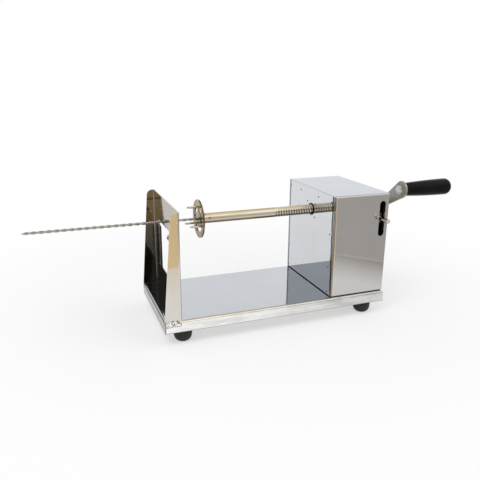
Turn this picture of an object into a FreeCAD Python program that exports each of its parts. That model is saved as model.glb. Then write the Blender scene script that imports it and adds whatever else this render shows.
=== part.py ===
import FreeCAD, Part
import math
import os

# Hand-cranked tornado potato cutter, in millimetres.
# +X runs from the needle to the crank, +Y to the back, +Z up.
# The pieces are made about the point on the table under the middle of the base. In the finished
# files the origin is the point on the table under the middle of the whole machine.

V = FreeCAD.Vector
X_WAY = V(1, 0, 0)
Y_WAY = V(0, 1, 0)
Z_WAY = V(0, 0, 1)

# ---- driving dimensions -------------------------------------------------------------------

RUNNING = 0.05            # radial clearance of a shaft in its bore
PASSING = 0.3             # gap between pieces that move past each other
SCREW_PLAY = 0.1          # radial clearance of a screw in a drilled sheet
SEAM = 0.15               # gap between two sheets that slide into each other
CLOSE = 0.01              # places nearer than this count as the same place
CLEAR_CUT = 1.0           # how far a cutting block reaches past what it cuts

BASE_LENGTH = 320.0
BASE_WIDTH = 145.0
BASE_SHEET = 1.5
LIP_DEPTH = 15.0
LIP_BEND = 3.0            # outside radius
RETURN_FLANGE = 28.0

FOOT_RADIUS = 12.2
FOOT_HEIGHT = 17.5
FOOT_FLAT = 5.0           # radius of the flat that stands on the table
FOOT_BOWL = 9.8           # radius where the rounded underside turns steeper
FOOT_BOWL_HEIGHT = 2.2
FOOT_END_INSET = 26.0
FOOT_SPREAD = 58.0        # half the distance between the two rows of feet
FOOT_STRAIGHT = 9.5       # height of the foot's upright wall

AXIS_ABOVE_DECK = 111.5

STAND_HEIGHT = 140.7
STAND_SHEET = 1.5
STAND_BEND = 3.0
STAND_FLANGE_FOOT = 22.5  # flange width at the deck
STAND_FLANGE_TOP = 11.0
STAND_FLANGE_CORNER = 8.0
WINDOW_NEAR = 18.0        # from the shaft axis to the window's edge under the blade
WINDOW_FAR = 16.0         # from the shaft axis to the free edge of the flap
WINDOW_BOTTOM = 37.0      # above the deck
WINDOW_TOP_DROP = 8.5     # below the shaft axis
FLAP_WIDTH = 32.0
FLAP_TILT = 7.0           # degrees, bent towards the needle's tip
FLAP_SLIT = 3.0           # from the window's bottom up to the flap's lower edge
NEEDLE_HOLE_PLAY = 1.2

SLICE = 4.0               # blade height over the plate, and thread pitch
BLADE_THICKNESS = 1.2
BLADE_LENGTH = 92.0
BLADE_BACK = 30.0         # from the cutting edge to the back of the blade
BLADE_GRIND = 5.0         # width of the ground bevel
BLADE_ABOVE_AXIS = 8.0
BLADE_NOTCH_PLAY = 0.7
SPACER_WIDTH = 10.0
BLADE_SCREW_RADIUS = 2.0
BLADE_SCREW_HEAD = 3.5
BLADE_SCREW_HEAD_HEIGHT = 1.4
BLADE_SCREW_LOW = 8.0     # from the blade's lower end
BLADE_SCREW_HIGH = 69.0   # from the blade's lower end
BLADE_NUT_WIDTH = 7.0
BLADE_NUT_HEIGHT = 3.2

NEEDLE_RADIUS = 1.9
NEEDLE_REACH = 222.75     # from the fork's face to the tip
NEEDLE_POINT = 7.0
NEEDLE_TIP = 0.3          # radius of the blunted tip

FORK_RADIUS = 26.0
FORK_THICKNESS = 2.0
FORK_FACE = 43.0          # from the stand's plate to the fork's face
FORK_RING_WIDTH = 8.0
FORK_EYE_RADIUS = 11.0    # of the plate's middle, where the spokes meet
FORK_SPOKE_WIDTH = 6.0
FORK_HUB_LENGTH = 16.0
PRONG_LENGTH = 15.5
PRONG_RADIUS = 1.5
PRONG_TIP = 0.3
PRONG_POINT = 3.0
PRONG_CIRCLE = 16.0
PRONG_COUNT = 3
PRONG_START = -25.0       # degrees from the front, upwards

SCREW_RADIUS = 7.0
SCREW_WALL = 2.0
SCREW_END_INSET = 0.25    # from the crank arm's outer face to the tube's end

HOUSING_LENGTH = 83.3
HOUSING_END_GAP = 1.4     # from the housing to the end of the base
HOUSING_HEIGHT = 143.5
HOUSING_FRONT = 69.5      # from the middle of the base to the front face
HOUSING_BACK = 72.0
COVER_SHEET = 1.2
COVER_BEND = 3.0
COVER_FOOT_FLANGE = 15.0
PAN_INSET = 0.4
PAN_DEPTH = 9.0
PAN_SHEET = 1.2
PAN_BEND = 3.0
BACKING_THICKNESS = 3.0
BACKING_MARGIN = 2.5

SLEEVE_WALL = 1.25
SLEEVE_RIM = 9.2          # outside radius of the ring that shows
SLEEVE_RIM_WIDTH = 2.0
SLEEVE_END_WIDTH = 1.2    # the inner end, flared over the backing plate

SLOT_LENGTH = 50.0
SLOT_WIDTH = 9.0
SLOT_BOTTOM = 82.8        # above the deck
SLOT_FROM_END = 9.4       # from the housing's rear end to the slot's middle

LEVER_THICKNESS = 5.0
LEVER_SETBACK = 14.0      # from the rear backing plate to the lever's far side
LEVER_PIN_RADIUS = 2.6
LEVER_PIN_HEIGHT = 107.4  # above the deck
LEVER_PIN_OUT = 15.0      # how far the tip stands out of the front face
LEVER_TIP_RADIUS = 3.1
LEVER_TIP_LENGTH = 5.0
LEVER_BLOCK_DEPTH = 10.0
LEVER_BLOCK_HEIGHT = 14.0
LEVER_BLOCK_WALL = 1.6    # beside the pin's shank
LEVER_SHANK_RADIUS = 2.0
LEVER_BLOCK_GAP = 5.0     # from the block to the inside of the cover
LEVER_BAR_HEIGHT = 8.0
PIVOT_BACK = 50.0         # from the shaft axis
PIVOT_RISE = 10.0         # above the shaft axis
PIVOT_RADIUS = 4.0
PIVOT_HUB_RADIUS = 8.0
PIVOT_THREAD_RADIUS = 3.0
PIVOT_HEAD_WIDTH = 13.0
PIVOT_HEAD_HEIGHT = 5.0
PIVOT_NUT_WIDTH = 10.0
PIVOT_NUT_HEIGHT = 5.0
HALF_NUT_LENGTH = 16.0
HALF_NUT_WIDTH = 26.0
HALF_NUT_RISE = 12.0      # above the shaft axis
HALF_NUT_LIP = 0.5        # the half nut ends this far above the shaft axis
HALF_NUT_FIT = 0.1

CRANK_GAP = 28.4          # from the housing to the crank hub, in the position shown
CRANK_HUB_LENGTH = 10.0
CRANK_HUB_RADIUS = 11.0
ARM_THICKNESS = 2.5
ARM_REACH = 51.0
ARM_ANGLE = 34.0          # degrees from the front, upwards
ARM_PADDLE_RADIUS = 12.3
ARM_HUB_RADIUS = 11.5
ARM_NECK_HALF = 7.8
ARM_NECK_AT = 14.0        # from the shaft axis
ARM_FLARE_HALF = 11.6
ARM_FLARE_AT = 46.0

GRIP_LENGTH = 80.0
GRIP_NECK_RADIUS = 8.6
GRIP_RADIUS = 11.4
GRIP_END_RADIUS = 9.0
GRIP_SWELL = 28.0         # length over which the neck widens
GRIP_TAPER = 6.0          # length over which the end narrows
GRIP_BOLT_RADIUS = 4.0
GRIP_HEAD_RADIUS = 6.5
GRIP_HEAD_HEIGHT = 4.5
GRIP_RECESS_RADIUS = 7.2
GRIP_RECESS_DEPTH = 7.0
GRIP_SOCKET_WIDTH = 5.0   # of the hexagon in the bolt's head
GRIP_SOCKET_DEPTH = 2.5
GRIP_NUT_WIDTH = 13.0
GRIP_NUT_HEIGHT = 4.0
BOLT_SPARE = 1.2          # thread that shows past a nut

# ---- places worked out from the dimensions ------------------------------------------------

LIP_BOTTOM = FOOT_HEIGHT
DECK = LIP_BOTTOM + LIP_DEPTH
AXIS = DECK + AXIS_ABOVE_DECK
BASE_END = BASE_LENGTH / 2
BASE_SIDE = BASE_WIDTH / 2

STAND_FACE = -BASE_END + STAND_FLANGE_FOOT
STAND_BACK = STAND_FACE - STAND_SHEET
STAND_TOP = DECK + STAND_HEIGHT
BLADE_UNDER = STAND_FACE + SLICE
BLADE_FACE = BLADE_UNDER + BLADE_THICKNESS
BLADE_TOP = AXIS + BLADE_ABOVE_AXIS
BLADE_BOTTOM = BLADE_TOP - BLADE_LENGTH

FORK_FRONT = STAND_FACE + FORK_FACE
TUBE_START = FORK_FRONT + FORK_THICKNESS
HUB_RADIUS = SCREW_RADIUS - SCREW_WALL

HOUSING_REAR = BASE_END - HOUSING_END_GAP
HOUSING_START = HOUSING_REAR - HOUSING_LENGTH
HOUSING_TOP = DECK + HOUSING_HEIGHT
PAN_FLOOR = DECK + COVER_SHEET + SEAM
SLOT_X = HOUSING_REAR - SLOT_FROM_END
SLEEVE_BORE = SCREW_RADIUS + RUNNING
SLEEVE_RADIUS = SLEEVE_BORE + SLEEVE_WALL
GUIDE_BORE = SLEEVE_RADIUS + RUNNING
PAN_FACE = HOUSING_START + PAN_INSET
BACKING_INNER = PAN_FACE + PAN_SHEET + BACKING_THICKNESS

PIN_Z = DECK + LEVER_PIN_HEIGHT
PIVOT_Z = AXIS + PIVOT_RISE
PIVOT_OUTER = HOUSING_REAR - PAN_INSET
PIVOT_FACE = PIVOT_OUTER - PAN_SHEET - BACKING_THICKNESS  # inner face of the rear backing plate
LEVER_START = PIVOT_FACE - LEVER_SETBACK
LEVER_END = LEVER_START + LEVER_THICKNESS

CRANK_HUB_START = HOUSING_REAR + CRANK_GAP
ARM_START = CRANK_HUB_START + CRANK_HUB_LENGTH
ARM_END = ARM_START + ARM_THICKNESS
TUBE_END = ARM_END - SCREW_END_INSET
GRIP_START = ARM_END + PASSING
GRIP_END = GRIP_START + GRIP_LENGTH
GRIP_Y = -ARM_REACH * math.cos(math.radians(ARM_ANGLE))
GRIP_Z = AXIS + ARM_REACH * math.sin(math.radians(ARM_ANGLE))

NEEDLE_END = FORK_FRONT - NEEDLE_REACH
PIN_END = -HOUSING_FRONT - LEVER_PIN_OUT
MIDDLE = V((NEEDLE_END + GRIP_END) / 2, (PIN_END + max(BASE_SIDE, HOUSING_BACK)) / 2, 0)


# ---- shapes -------------------------------------------------------------------------------

def box(x0, x1, y0, y1, z0, z1):
    return Part.makeBox(x1 - x0, y1 - y0, z1 - z0, V(x0, y0, z0))


def rod_x(x0, x1, radius, y=0.0, z=AXIS):
    return Part.makeCylinder(radius, x1 - x0, V(x0, y, z), X_WAY)


def rod_y(y0, y1, radius, x, z):
    return Part.makeCylinder(radius, y1 - y0, V(x, y0, z), Y_WAY)


def turned_x(profile, y=0.0, z=AXIS):
    """A body of revolution about a line along X, from (x, radius) corners."""
    wire = Part.makePolygon([V(x, y, z + r) for x, r in profile + profile[:1]])
    return Part.Face(wire).revolve(V(0, y, z), X_WAY, 360)


def prism_x(x0, x1, outline):
    """A plate with an outline of (y, z) corners."""
    wire = Part.makePolygon([V(x0, y, z) for y, z in outline + outline[:1]])
    return Part.Face(wire).extrude(V(x1 - x0, 0, 0))


def prism_y(y0, y1, outline):
    """A plate with an outline of (x, z) corners."""
    wire = Part.makePolygon([V(x, y0, z) for x, z in outline + outline[:1]])
    return Part.Face(wire).extrude(V(0, y1 - y0, 0))


def hexagon_x(x0, x1, across_flats, y, z):
    corner = across_flats / math.sqrt(3)
    return prism_x(x0, x1, [
        (y + corner * math.cos(math.radians(60 * i)), z + corner * math.sin(math.radians(60 * i)))
        for i in range(6)])


def middle(edge):
    return edge.CenterOfMass


def runs_along(edge, way):
    ends = edge.Vertexes
    return len(ends) == 2 and (ends[1].Point - ends[0].Point).cross(way).Length < CLOSE


def rounded(shape, radius, wanted):
    """Fillets every edge that wanted(edge) picks."""
    return shape.makeFillet(radius, [edge for edge in shape.Edges if wanted(edge)])


def from_front(angle, radius):
    """(y, z) of a point round the shaft, its angle counted from the front upwards."""
    turn = math.radians(angle)
    return -radius * math.cos(turn), AXIS + radius * math.sin(turn)


def joined(first, *rest):
    return first.fuse(list(rest)).removeSplitter()


def group(solids):
    return Part.makeCompound(list(solids))


# ---- base ---------------------------------------------------------------------------------

def foot_places():
    x = BASE_END - FOOT_END_INSET
    return [(-x, -FOOT_SPREAD), (x, -FOOT_SPREAD), (-x, FOOT_SPREAD), (x, FOOT_SPREAD)]


def tray_block(inset, bottom):
    """The tray's outside, or its inside where inset is the sheet."""
    block = box(-BASE_END + inset, BASE_END - inset, -BASE_SIDE + inset, BASE_SIDE - inset,
                bottom, DECK - inset)
    return rounded(block, LIP_BEND - inset, lambda e: middle(e).z > DECK - inset - CLOSE)


def make_base_tray():
    inside = tray_block(BASE_SHEET, LIP_BOTTOM + BASE_SHEET)
    flange_edge = BASE_SIDE - RETURN_FLANGE
    mouth = box(-BASE_END + BASE_SHEET, BASE_END - BASE_SHEET, -flange_edge, flange_edge,
                LIP_BOTTOM, LIP_BOTTOM + BASE_SHEET)
    return tray_block(0.0, LIP_BOTTOM).cut([inside, mouth])


def make_foot(x, y):
    """A rubber foot bonded under the return flange, rounded towards the table."""
    outline = Part.makePolygon([V(x + r, y, z) for r, z in (
        (0, 0), (FOOT_FLAT, 0), (FOOT_BOWL, FOOT_BOWL_HEIGHT),
        (FOOT_RADIUS, LIP_BOTTOM - FOOT_STRAIGHT), (FOOT_RADIUS, LIP_BOTTOM),
        (0, LIP_BOTTOM), (0, 0))])
    return Part.Face(outline).revolve(V(x, y, 0), Z_WAY, 360)


# ---- blade stand --------------------------------------------------------------------------

def make_blade_stand():
    left = -BASE_END
    top_left = STAND_FACE - STAND_FLANGE_TOP
    side = [(left, DECK), (STAND_FACE, DECK), (STAND_FACE, STAND_TOP), (top_left, STAND_TOP)]
    block = prism_y(-BASE_SIDE, BASE_SIDE, side)
    block = rounded(block, STAND_FLANGE_CORNER, lambda e: runs_along(e, Y_WAY)
                    and middle(e).z > STAND_TOP - CLOSE and middle(e).x < STAND_BACK)
    block = rounded(block, STAND_BEND, lambda e: runs_along(e, Z_WAY)
                    and middle(e).x > STAND_FACE - CLOSE)
    room = box(left - CLEAR_CUT, STAND_BACK, -BASE_SIDE + STAND_SHEET, BASE_SIDE - STAND_SHEET,
               DECK - CLEAR_CUT, STAND_TOP + CLEAR_CUT)
    room = rounded(room, STAND_BEND - STAND_SHEET, lambda e: runs_along(e, Z_WAY)
                   and middle(e).x > STAND_BACK - CLOSE)
    flap_root = WINDOW_FAR + FLAP_WIDTH
    window_bottom = DECK + WINDOW_BOTTOM
    window_top = AXIS - WINDOW_TOP_DROP
    window = box(STAND_BACK, STAND_FACE, -WINDOW_NEAR, flap_root, window_bottom, window_top)
    flap = box(STAND_BACK, STAND_FACE, WINDOW_FAR, flap_root,
               window_bottom + FLAP_SLIT, window_top - FLAP_SLIT)
    flap.rotate(V(STAND_FACE, flap_root, 0), Z_WAY, -FLAP_TILT)
    holes = [rod_x(STAND_BACK, STAND_FACE, NEEDLE_RADIUS + NEEDLE_HOLE_PLAY)]
    holes += blade_screw_holes(STAND_BACK, STAND_FACE)
    return joined(block.cut([room, window] + holes), flap)


def make_stand_welds():
    """Beads that fill the tray's bend under each flange of the stand, ground flush."""
    beads = []
    for y0, y1 in ((-BASE_SIDE, -BASE_SIDE + LIP_BEND), (BASE_SIDE - LIP_BEND, BASE_SIDE)):
        bead = box(-BASE_END + LIP_BEND, STAND_FACE - STAND_BEND, y0, y1, DECK - LIP_BEND, DECK)
        beads.append(bead.cut(tray_block(0.0, LIP_BOTTOM)).Solids[0])
    return group(beads)


# ---- blade --------------------------------------------------------------------------------

def blade_screw_places():
    y = -BLADE_BACK + SPACER_WIDTH / 2
    return [(y, BLADE_BOTTOM + BLADE_SCREW_LOW), (y, BLADE_BOTTOM + BLADE_SCREW_HIGH)]


def blade_screw_holes(x0, x1):
    return [rod_x(x0, x1, BLADE_SCREW_RADIUS + SCREW_PLAY, y, z) for y, z in blade_screw_places()]


def make_blade():
    """A strip ground on its outer face only, with a notch that clears the needle."""
    section = [(BLADE_UNDER, -BLADE_BACK), (BLADE_UNDER, 0.0), (BLADE_FACE, -BLADE_GRIND),
               (BLADE_FACE, -BLADE_BACK)]
    outline = Part.makePolygon([V(x, y, BLADE_BOTTOM) for x, y in section + section[:1]])
    strip = Part.Face(outline).extrude(V(0, 0, BLADE_LENGTH))
    notch = rod_x(BLADE_UNDER, BLADE_FACE, NEEDLE_RADIUS + BLADE_NOTCH_PLAY)
    return strip.cut([notch] + blade_screw_holes(BLADE_UNDER, BLADE_FACE))


def make_blade_spacer():
    bar = box(STAND_FACE, BLADE_UNDER, -BLADE_BACK, -BLADE_BACK + SPACER_WIDTH,
              BLADE_BOTTOM, BLADE_TOP)
    return bar.cut(blade_screw_holes(STAND_FACE, BLADE_UNDER))


def make_blade_screws():
    end = STAND_BACK - BLADE_NUT_HEIGHT - BOLT_SPARE
    return group(joined(rod_x(end, BLADE_FACE, BLADE_SCREW_RADIUS, y, z),
                        rod_x(BLADE_FACE, BLADE_FACE + BLADE_SCREW_HEAD_HEIGHT, BLADE_SCREW_HEAD, y, z))
                 for y, z in blade_screw_places())


def make_blade_nuts():
    start = STAND_BACK - BLADE_NUT_HEIGHT
    return group(hexagon_x(start, STAND_BACK, BLADE_NUT_WIDTH, y, z)
                 .cut(rod_x(start, STAND_BACK, BLADE_SCREW_RADIUS, y, z))
                 for y, z in blade_screw_places())


# ---- spindle ------------------------------------------------------------------------------

def make_needle():
    return turned_x([(NEEDLE_END, 0), (NEEDLE_END, NEEDLE_TIP),
                     (NEEDLE_END + NEEDLE_POINT, NEEDLE_RADIUS),
                     (TUBE_START + FORK_HUB_LENGTH, NEEDLE_RADIUS),
                     (TUBE_START + FORK_HUB_LENGTH, 0)])


def prong_angles():
    return [PRONG_START + 360 * i / PRONG_COUNT for i in range(PRONG_COUNT)]


def fork_spoke(angle):
    half = FORK_SPOKE_WIDTH / 2
    bar = box(FORK_FRONT, TUBE_START, -FORK_RADIUS, 0, AXIS - half, AXIS + half)
    bar.rotate(V(0, 0, AXIS), X_WAY, -angle)
    return bar


def make_fork_disc():
    """A ring on one spoke for each prong, with the hub stub that goes into the tube."""
    hub_end = TUBE_START + FORK_HUB_LENGTH
    disc = turned_x([(FORK_FRONT, NEEDLE_RADIUS), (FORK_FRONT, FORK_RADIUS),
                     (TUBE_START, FORK_RADIUS), (TUBE_START, HUB_RADIUS),
                     (hub_end, HUB_RADIUS), (hub_end, NEEDLE_RADIUS)])
    gaps = rod_x(FORK_FRONT, TUBE_START, FORK_RADIUS - FORK_RING_WIDTH).cut(
        [rod_x(FORK_FRONT, TUBE_START, FORK_EYE_RADIUS)] + [fork_spoke(a) for a in prong_angles()])
    return disc.cut(gaps)


def make_fork_prongs():
    """Round spikes, welded on the spokes."""
    tip = FORK_FRONT - PRONG_LENGTH
    return group(turned_x([(tip, 0), (tip, PRONG_TIP), (tip + PRONG_POINT, PRONG_RADIUS),
                           (FORK_FRONT, PRONG_RADIUS), (FORK_FRONT, 0)],
                          *from_front(angle, PRONG_CIRCLE))
                 for angle in prong_angles())


def make_lead_screw():
    """The tube at its thread's crest; the thread is SLICE apart from turn to turn."""
    return rod_x(TUBE_START, TUBE_END, SCREW_RADIUS).cut(rod_x(TUBE_START, TUBE_END, HUB_RADIUS))


# ---- housing ------------------------------------------------------------------------------

def cover_block(inset):
    block = box(HOUSING_START, HOUSING_REAR, -HOUSING_FRONT + inset, HOUSING_BACK - inset,
                DECK + inset, HOUSING_TOP - inset)
    return rounded(block, COVER_BEND - inset, lambda e: runs_along(e, X_WAY))


def make_housing_cover():
    mouth = box(HOUSING_START, HOUSING_REAR, -HOUSING_FRONT + COVER_FOOT_FLANGE,
                HOUSING_BACK - COVER_FOOT_FLANGE, DECK, DECK + COVER_SHEET)
    half = SLOT_WIDTH / 2
    low = DECK + SLOT_BOTTOM + half
    high = DECK + SLOT_BOTTOM + SLOT_LENGTH - half
    front = -HOUSING_FRONT
    slot = joined(box(SLOT_X - half, SLOT_X + half, front, front + COVER_SHEET, low, high),
                  rod_y(front, front + COVER_SHEET, half, SLOT_X, low),
                  rod_y(front, front + COVER_SHEET, half, SLOT_X, high))
    return cover_block(0.0).cut([cover_block(COVER_SHEET), mouth, slot])


def at_rear(shape):
    """The housing's rear end is the front end's mirror image."""
    return shape.mirror(V((HOUSING_START + HOUSING_REAR) / 2, 0, 0), X_WAY)


def pivot_hole():
    """The pivot bolt's hole, at the front end's mirror place."""
    return rod_x(PAN_FACE, BACKING_INNER, PIVOT_THREAD_RADIUS, PIVOT_BACK, PIVOT_Z)


def lever_notch():
    """Room for the lever's pin in the flange of the rear pan, as one of the front end's cuts."""
    start = HOUSING_START + HOUSING_REAR - SLOT_X - SLOT_WIDTH / 2 - PASSING
    low = DECK + SLOT_BOTTOM - PASSING
    return box(start, PAN_FACE + PAN_DEPTH, -HOUSING_FRONT, -HOUSING_FRONT + COVER_BEND,
               low, low + SLOT_LENGTH + 2 * PASSING)


def pan_channel(inset):
    """The outside of a pan, or its inside where inset is the sheet: a face and two flanges."""
    fit = COVER_SHEET + SEAM + inset
    channel = box(PAN_FACE + inset, PAN_FACE + PAN_DEPTH, -HOUSING_FRONT + fit, HOUSING_BACK - fit,
                  PAN_FLOOR, HOUSING_TOP)
    return rounded(channel, PAN_BEND - inset,
                   lambda e: runs_along(e, Z_WAY) and middle(e).x < PAN_FACE + inset + CLOSE)


def make_pan():
    eye = rod_x(PAN_FACE, PAN_FACE + PAN_SHEET, GUIDE_BORE)
    pan = pan_channel(0.0).cut([pan_channel(PAN_SHEET), eye])
    return pan.common(cover_block(COVER_SHEET + SEAM))


def make_backing():
    """A thick plate behind the pan's face, which carries the shaft guide."""
    start = PAN_FACE + PAN_SHEET
    margin = COVER_SHEET + SEAM + PAN_SHEET + BACKING_MARGIN
    plate = box(start, BACKING_INNER, -HOUSING_FRONT + margin, HOUSING_BACK - margin,
                PAN_FLOOR, HOUSING_TOP - margin)
    return plate.cut(rod_x(start, BACKING_INNER, GUIDE_BORE))


# ---- shaft guides -------------------------------------------------------------------------

def make_sleeve():
    """A floating guide: the shaft slides in it, and it turns in the end plates."""
    rim_start = PAN_FACE - PASSING - SLEEVE_RIM_WIDTH
    flare = BACKING_INNER + PASSING
    end = flare + SLEEVE_END_WIDTH
    return turned_x([(rim_start, SLEEVE_BORE), (rim_start, SLEEVE_RIM),
                     (PAN_FACE - PASSING, SLEEVE_RIM), (PAN_FACE - PASSING, SLEEVE_RADIUS),
                     (flare, SLEEVE_RADIUS), (flare, SLEEVE_RIM), (end, SLEEVE_RIM),
                     (end, SLEEVE_BORE)])


# ---- clutch -------------------------------------------------------------------------------

def make_clutch_lever():
    block_back = -HOUSING_FRONT + COVER_SHEET + LEVER_BLOCK_GAP + LEVER_BLOCK_DEPTH
    block_top = PIN_Z + LEVER_BLOCK_HEIGHT / 2
    block_bottom = PIN_Z - LEVER_BLOCK_HEIGHT / 2
    bar_under = AXIS + HALF_NUT_RISE
    bar_top = bar_under + LEVER_BAR_HEIGHT
    half = HALF_NUT_WIDTH / 2
    bar = prism_x(LEVER_START, LEVER_END, [
        (PIVOT_BACK, PIVOT_Z - PIVOT_HUB_RADIUS), (half, bar_under), (-half, bar_under),
        (block_back, block_bottom), (block_back - LEVER_BLOCK_DEPTH, block_bottom),
        (block_back - LEVER_BLOCK_DEPTH, block_top), (block_back, block_top),
        (-half, bar_top), (half, bar_top), (PIVOT_BACK, PIVOT_Z + PIVOT_HUB_RADIUS)])
    hub = rod_x(LEVER_START, PIVOT_FACE - PASSING, PIVOT_HUB_RADIUS, PIVOT_BACK, PIVOT_Z)
    block = box(LEVER_START, SLOT_X + LEVER_SHANK_RADIUS + LEVER_BLOCK_WALL,
                block_back - LEVER_BLOCK_DEPTH, block_back, block_bottom, block_top)
    eye = rod_x(LEVER_START, PIVOT_FACE, PIVOT_RADIUS + RUNNING, PIVOT_BACK, PIVOT_Z)
    pin = rod_y(block_back - LEVER_BLOCK_DEPTH, block_back, LEVER_SHANK_RADIUS, SLOT_X, PIN_Z)
    return joined(bar, hub, block).cut([eye, pin])


def make_half_nut():
    start = LEVER_END - HALF_NUT_LENGTH
    half = HALF_NUT_WIDTH / 2
    block = box(start, LEVER_END, -half, half, AXIS + HALF_NUT_LIP, AXIS + HALF_NUT_RISE)
    return block.cut(rod_x(start, LEVER_END, SCREW_RADIUS + HALF_NUT_FIT))


def make_lever_pin():
    """The pin's shoulder stops on the lever's block, and its shank goes through it."""
    block_face = -HOUSING_FRONT + COVER_SHEET + LEVER_BLOCK_GAP
    return joined(rod_y(PIN_END + LEVER_TIP_LENGTH / 2, block_face, LEVER_PIN_RADIUS,
                        SLOT_X, PIN_Z),
                  rod_y(block_face, block_face + LEVER_BLOCK_DEPTH, LEVER_SHANK_RADIUS,
                        SLOT_X, PIN_Z))


def make_lever_tip():
    """A ferrule screwed on the pin."""
    inner = PIN_END + LEVER_TIP_LENGTH
    body = rod_y(PIN_END, inner, LEVER_TIP_RADIUS, SLOT_X, PIN_Z)
    return body.cut(rod_y(PIN_END + LEVER_TIP_LENGTH / 2, inner, LEVER_PIN_RADIUS, SLOT_X, PIN_Z))


def make_pivot_bolt():
    head_end = LEVER_START - PASSING
    head = hexagon_x(head_end - PIVOT_HEAD_HEIGHT, head_end, PIVOT_HEAD_WIDTH, PIVOT_BACK, PIVOT_Z)
    return joined(head, rod_x(head_end, PIVOT_FACE, PIVOT_RADIUS, PIVOT_BACK, PIVOT_Z),
                  rod_x(PIVOT_FACE, PIVOT_OUTER + PIVOT_NUT_HEIGHT + BOLT_SPARE,
                        PIVOT_THREAD_RADIUS, PIVOT_BACK, PIVOT_Z))


def make_pivot_nut():
    end = PIVOT_OUTER + PIVOT_NUT_HEIGHT
    return hexagon_x(PIVOT_OUTER, end, PIVOT_NUT_WIDTH, PIVOT_BACK, PIVOT_Z).cut(
        rod_x(PIVOT_OUTER, end, PIVOT_THREAD_RADIUS, PIVOT_BACK, PIVOT_Z))


# ---- crank --------------------------------------------------------------------------------

def make_crank_hub():
    """A ring clamped on the tube, with the arm welded to it."""
    hub = rod_x(CRANK_HUB_START, ARM_START, CRANK_HUB_RADIUS)
    return hub.cut(rod_x(CRANK_HUB_START, ARM_START, SCREW_RADIUS))


def make_crank_arm():
    """A flat bar with a round hub end and a wider round end for the grip."""
    outline = [(ARM_NECK_AT, ARM_NECK_HALF), (ARM_FLARE_AT, ARM_FLARE_HALF),
               (ARM_FLARE_AT, -ARM_FLARE_HALF), (ARM_NECK_AT, -ARM_NECK_HALF),
               (0.0, -ARM_NECK_HALF), (0.0, ARM_NECK_HALF)]
    turn = math.radians(ARM_ANGLE)
    neck = prism_x(ARM_START, ARM_END, [
        (-along * math.cos(turn) - side * math.sin(turn),
         AXIS + along * math.sin(turn) - side * math.cos(turn)) for along, side in outline])
    arm = joined(neck, rod_x(ARM_START, ARM_END, ARM_HUB_RADIUS),
                 rod_x(ARM_START, ARM_END, ARM_PADDLE_RADIUS, GRIP_Y, GRIP_Z))
    return arm.cut([rod_x(ARM_START, ARM_END, SCREW_RADIUS),
                    rod_x(ARM_START, ARM_END, GRIP_BOLT_RADIUS, GRIP_Y, GRIP_Z)])


def make_grip():
    """A grip with a narrow neck, and a recess in its end that hides the bolt's head."""
    recess = GRIP_END - GRIP_RECESS_DEPTH
    bore = GRIP_BOLT_RADIUS + RUNNING
    return turned_x([(GRIP_START, bore), (GRIP_START, GRIP_NECK_RADIUS),
                     (GRIP_START + GRIP_SWELL, GRIP_RADIUS), (GRIP_END - GRIP_TAPER, GRIP_RADIUS),
                     (GRIP_END, GRIP_END_RADIUS), (GRIP_END, GRIP_RECESS_RADIUS),
                     (recess, GRIP_RECESS_RADIUS), (recess, bore)], GRIP_Y, GRIP_Z)


def make_grip_bolt():
    seat = GRIP_END - GRIP_RECESS_DEPTH + PASSING
    head = rod_x(seat, seat + GRIP_HEAD_HEIGHT, GRIP_HEAD_RADIUS, GRIP_Y, GRIP_Z)
    socket = hexagon_x(seat + GRIP_HEAD_HEIGHT - GRIP_SOCKET_DEPTH, seat + GRIP_HEAD_HEIGHT,
                       GRIP_SOCKET_WIDTH, GRIP_Y, GRIP_Z)
    thread_end = ARM_START - GRIP_NUT_HEIGHT - BOLT_SPARE
    return joined(head.cut(socket), rod_x(thread_end, seat, GRIP_BOLT_RADIUS, GRIP_Y, GRIP_Z))


def make_grip_nut():
    start = ARM_START - GRIP_NUT_HEIGHT
    return hexagon_x(start, ARM_START, GRIP_NUT_WIDTH, GRIP_Y, GRIP_Z).cut(
        rod_x(start, ARM_START, GRIP_BOLT_RADIUS, GRIP_Y, GRIP_Z))


# ---- all pieces ---------------------------------------------------------------------------

def all_pieces():
    return {
        "base_tray": make_base_tray(),
        "feet": group(make_foot(x, y) for x, y in foot_places()),
        "blade_stand": make_blade_stand(),
        "stand_welds": make_stand_welds(),
        "blade": make_blade(),
        "blade_spacer": make_blade_spacer(),
        "blade_screws": make_blade_screws(),
        "blade_nuts": make_blade_nuts(),
        "needle": make_needle(),
        "fork_disc": make_fork_disc(),
        "fork_prongs": make_fork_prongs(),
        "lead_screw": make_lead_screw(),
        "housing_cover": make_housing_cover(),
        "front_pan": make_pan(),
        "rear_pan": at_rear(make_pan().cut([pivot_hole(), lever_notch()])),
        "front_backing": make_backing(),
        "rear_backing": at_rear(make_backing().cut(pivot_hole())),
        "shaft_sleeves": group([make_sleeve(), at_rear(make_sleeve())]),
        "clutch_lever": make_clutch_lever(),
        "half_nut": make_half_nut(),
        "lever_pin": make_lever_pin(),
        "lever_tip": make_lever_tip(),
        "pivot_bolt": make_pivot_bolt(),
        "pivot_nut": make_pivot_nut(),
        "crank_hub": make_crank_hub(),
        "crank_arm": make_crank_arm(),
        "grip": make_grip(),
        "grip_bolt": make_grip_bolt(),
        "grip_nut": make_grip_nut(),
    }


os.makedirs("parts", exist_ok=True)
for node, shape in all_pieces().items():
    shape.translate(-MIDDLE)
    shape.exportStep(f"parts/{node}.step")
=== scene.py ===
import math
import random

import bmesh
import bpy
from mathutils import Matrix, Vector


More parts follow.
